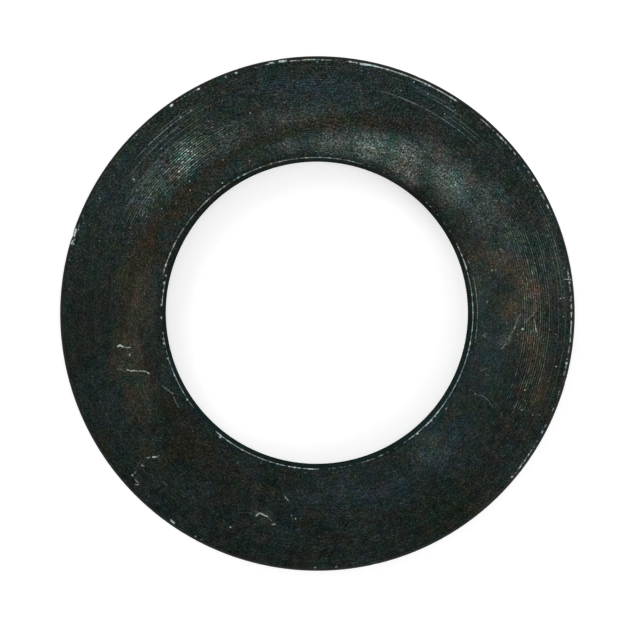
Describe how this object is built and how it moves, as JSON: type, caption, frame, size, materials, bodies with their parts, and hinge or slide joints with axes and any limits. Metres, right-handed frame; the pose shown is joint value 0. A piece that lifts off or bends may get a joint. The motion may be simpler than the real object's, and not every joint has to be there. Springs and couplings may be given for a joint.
{
  "type": "flat washer",
  "caption": "Thick flat steel washer, turned and blackened, with chamfered bore and rim, to spread the load under a nut, bolt head or pin collar.",
  "frame": {"origin": "middle of the underside, on the bore axis", "axes": "+Z along the bore axis, out of the upper face; the washer lies flat on its underside"},
  "size_m": [0.05, 0.05, 0.005],
  "materials": {
    "blackened_steel": "black oxide over a turned face, rubbed bright along the edges, with fine concentric feed marks, brown stain bands and a few scratches"
  },
  "bodies": {
    "root": {"washer": "blackened_steel"}
  },
  "joints": []
}
